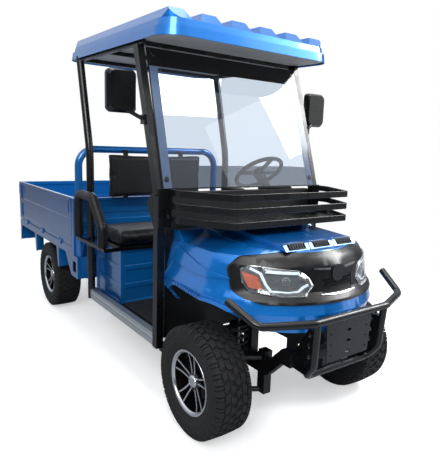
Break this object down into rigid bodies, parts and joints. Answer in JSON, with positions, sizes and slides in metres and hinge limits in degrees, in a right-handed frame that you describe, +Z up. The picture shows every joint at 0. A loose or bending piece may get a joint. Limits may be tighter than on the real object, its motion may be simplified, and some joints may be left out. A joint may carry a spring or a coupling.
{
  "type": "utility golf cart",
  "caption": "Utility golf cart with a bench seat under a roof, windshield, front basket and bull bar, steered alloy wheels and a drop-side cargo bed.",
  "frame": {"origin": "on the floor under the middle of the cart's overall box", "axes": "+Z up, -Y to the front of the cart, +X to its left-hand (driver's) side"},
  "size_m": [1.656, 3.924, 2.2373],
  "materials": {
    "blue_paint": "gloss blue paint",
    "black_paint": "satin black powder coat",
    "black_plastic": "textured black plastic",
    "gloss_black": "smooth black plastic",
    "lamp_lens": "clear lens",
    "glass": "clear laminated glass",
    "aluminium": "ribbed natural extrusion",
    "rubber": "ribbed mat",
    "tyre": "all-terrain tread",
    "alloy": "black alloy with machined spoke faces",
    "leather": "black vinyl",
    "steel": "dark steel",
    "grey_liner": "pale grey",
    "blue_plastic": "gloss blue moulding"
  },
  "bodies": {
    "chassis": {"chassis_frame": "black_paint", "front_suspension": "black_paint", "front_springs": "black_paint", "rear_axle": "steel", "leaf_springs": "black_paint", "floor_pan": "black_paint", "floor_mat": "rubber", "sills": "aluminium", "front_pillars": "black_paint", "rear_pillars": "black_paint", "roof_rails": "black_paint", "roof_liner": "grey_liner", "roof": "blue_plastic", "windshield": "glass", "front_body": "blue_plastic", "hood": "blue_plastic", "hood_vents": "black_plastic", "front_mask": "gloss_black", "headlamps": "lamp_lens", "bull_bar": "black_paint", "front_basket": "black_paint", "dashboard": "black_plastic", "steering_column": "black_plastic", "pedals": "rubber", "mirrors": "black_plastic", "seat_box": "blue_paint", "seat_frame": "black_paint", "seat_cushion": "leather", "seat_backrest": "leather", "backrest_straps": "black_paint", "hip_restraints": "leather", "battery_pack": "black_plastic", "bed_floor": "blue_paint", "bed_skirts": "blue_paint", "bed_front_wall": "blue_paint", "bed_hoop": "blue_paint"},
    "steering_wheel": {"steering_wheel": "black_plastic"},
    "knuckle_right": {"knuckle_right": "steel"},
    "knuckle_left": {"knuckle_left": "steel"},
    "gate_right": {"gate_right": "blue_paint"},
    "gate_left": {"gate_left": "blue_paint"},
    "tailgate": {"tailgate": "blue_paint"},
    "wheel_front_right": {"tyre_front_right": "tyre", "rim_front_right": "alloy"},
    "wheel_front_left": {"tyre_front_left": "tyre", "rim_front_left": "alloy"},
    "wheel_rear_right": {"tyre_rear_right": "tyre", "rim_rear_right": "alloy"},
    "wheel_rear_left": {"tyre_rear_left": "tyre", "rim_rear_left": "alloy"}
  },
  "joints": [
    {"name": "steering_wheel_turn", "type": "hinge", "parent": "chassis", "child": "steering_wheel", "pos_m": [0.316, -0.806, 1.318], "axis": [0, 0.6157, 0.788], "range_deg": [-400, 400]},
    {"name": "knuckle_right_steer", "type": "hinge", "parent": "chassis", "child": "knuckle_right", "pos_m": [-0.44, -1.446, 0.292], "axis": [0, 0, 1], "range_deg": [-28, 28]},
    {"name": "wheel_front_right_roll", "type": "hinge", "parent": "knuckle_right", "child": "wheel_front_right", "pos_m": [-0.536, -1.446, 0.292], "axis": [1, 0, 0], "continuous": true},
    {"name": "knuckle_left_steer", "type": "hinge", "parent": "chassis", "child": "knuckle_left", "pos_m": [0.44, -1.446, 0.292], "axis": [0, 0, 1], "range_deg": [-28, 28]},
    {"name": "wheel_front_left_roll", "type": "hinge", "parent": "knuckle_left", "child": "wheel_front_left", "pos_m": [0.536, -1.446, 0.292], "axis": [1, 0, 0], "continuous": true},
    {"name": "wheel_rear_right_roll", "type": "hinge", "parent": "chassis", "child": "wheel_rear_right", "pos_m": [-0.543, 0.974, 0.292], "axis": [1, 0, 0], "continuous": true},
    {"name": "wheel_rear_left_roll", "type": "hinge", "parent": "chassis", "child": "wheel_rear_left", "pos_m": [0.543, 0.974, 0.292], "axis": [1, 0, 0], "continuous": true},
    {"name": "gate_right_drop", "type": "hinge", "parent": "chassis", "child": "gate_right", "pos_m": [-0.664, 1.092, 0.68], "axis": [0, -1, 0], "range_deg": [0, 180]},
    {"name": "gate_left_drop", "type": "hinge", "parent": "chassis", "child": "gate_left", "pos_m": [0.664, 1.092, 0.68], "axis": [0, 1, 0], "range_deg": [0, 180]},
    {"name": "tailgate_drop", "type": "hinge", "parent": "chassis", "child": "tailgate", "pos_m": [0, 1.955, 0.68], "axis": [-1, 0, 0], "range_deg": [0, 180]}
  ],
  "couplings": [
    {"joint": "knuckle_right_steer", "follows": "steering_wheel_turn", "ratio": 0.07},
    {"joint": "knuckle_left_steer", "follows": "steering_wheel_turn", "ratio": 0.07}
  ]
}
